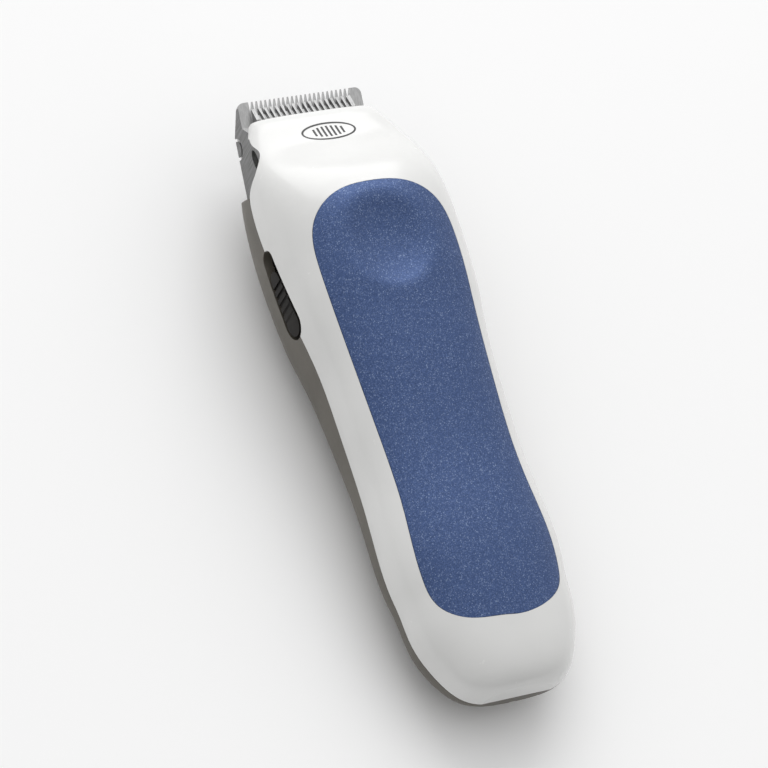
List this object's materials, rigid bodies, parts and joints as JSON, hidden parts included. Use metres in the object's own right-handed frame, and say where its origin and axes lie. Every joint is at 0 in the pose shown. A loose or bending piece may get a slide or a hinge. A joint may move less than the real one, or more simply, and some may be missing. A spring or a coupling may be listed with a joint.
{
  "type": "body groomer",
  "caption": "Compact cordless body groomer with a contoured two-shell handle, thumb-rest grip inlay, side slide switch and a toothed steel blade driven side to side by a small motor.",
  "frame": {"origin": "centre of the bounding box in plan, on the surface that the groomer lies on", "axes": "+Z out of the front (grip inlay) side, +Y from the tail towards the blade tips, +X to the right when the front is seen with the blade at the top"},
  "size_m": [0.048, 0.1554, 0.0376],
  "materials": {
    "white_gloss": "gloss",
    "taupe_satin": "satin",
    "blue_pearl": "pearl with fine metal flake",
    "screw_steel": "zinc plated",
    "blade_steel": "ground",
    "cutter_steel": "ground",
    "yoke_plastic": "natural acetal",
    "carrier_plastic": "satin",
    "spring_steel": "bright",
    "switch_black": "satin",
    "contact_brass": "brass",
    "board_black": "matte",
    "motor_steel": "nickel plated",
    "bush_bronze": "sintered bronze",
    "magnet_ferrite": "matte",
    "armature_copper": "enamelled copper and laminations",
    "felt_grey": "felt",
    "frame_grey": "matte",
    "cell_wrap": "shrink wrap",
    "board_green": "solder mask",
    "lead_black": "satin",
    "lead_red": "satin"
  },
  "bodies": {
    "handle": {"front_cover": "white_gloss", "rear_cover": "taupe_satin", "grip_inlay": "blue_pearl", "housing_screws": "screw_steel", "fixed_blade": "blade_steel", "blade_carrier": "carrier_plastic", "blade_screws": "screw_steel", "cutter_spring": "spring_steel", "switch_bezel": "switch_black", "switch_housing": "board_black", "motor_can": "motor_steel", "motor_end_cap": "board_black", "motor_terminals": "contact_brass", "motor_bush_rear": "bush_bronze", "motor_bush_front": "bush_bronze", "motor_magnets": "magnet_ferrite", "hair_seal": "felt_grey", "chassis": "frame_grey", "battery_cell_left": "cell_wrap", "battery_cell_right": "cell_wrap", "battery_contacts": "spring_steel", "circuit_board": "board_green", "board_components": "board_black", "power_inlet": "board_black", "inlet_pin": "contact_brass", "motor_lead_black": "lead_black", "motor_lead_red": "lead_red"},
    "rotor": {"motor_armature": "armature_copper", "commutator": "armature_copper", "motor_shaft": "spring_steel", "eccentric_cam": "yoke_plastic", "drive_pin": "spring_steel"},
    "cutter": {"moving_cutter": "cutter_steel", "cutter_yoke": "yoke_plastic", "cutter_rivets": "screw_steel"},
    "switch": {"switch_button": "switch_black", "switch_slider": "contact_brass"}
  },
  "joints": [
    {"name": "rotor_spin", "type": "hinge", "parent": "handle", "child": "rotor", "pos_m": [0, 0.04237, 0.019], "axis": [0, 1, 0], "range_deg": [-90, 90]},
    {"name": "cutter_slide", "type": "slide", "parent": "handle", "child": "cutter", "axis": [1, 0, 0], "range_m": [-0.0012, 0.0012]},
    {"name": "switch_slide", "type": "slide", "parent": "handle", "child": "switch", "axis": [0, 1, 0], "range_m": [0, 0.005]}
  ],
  "couplings": [
    {"joint": "rotor_spin", "follows": "cutter_slide", "rad_per_m": 1309}
  ]
}
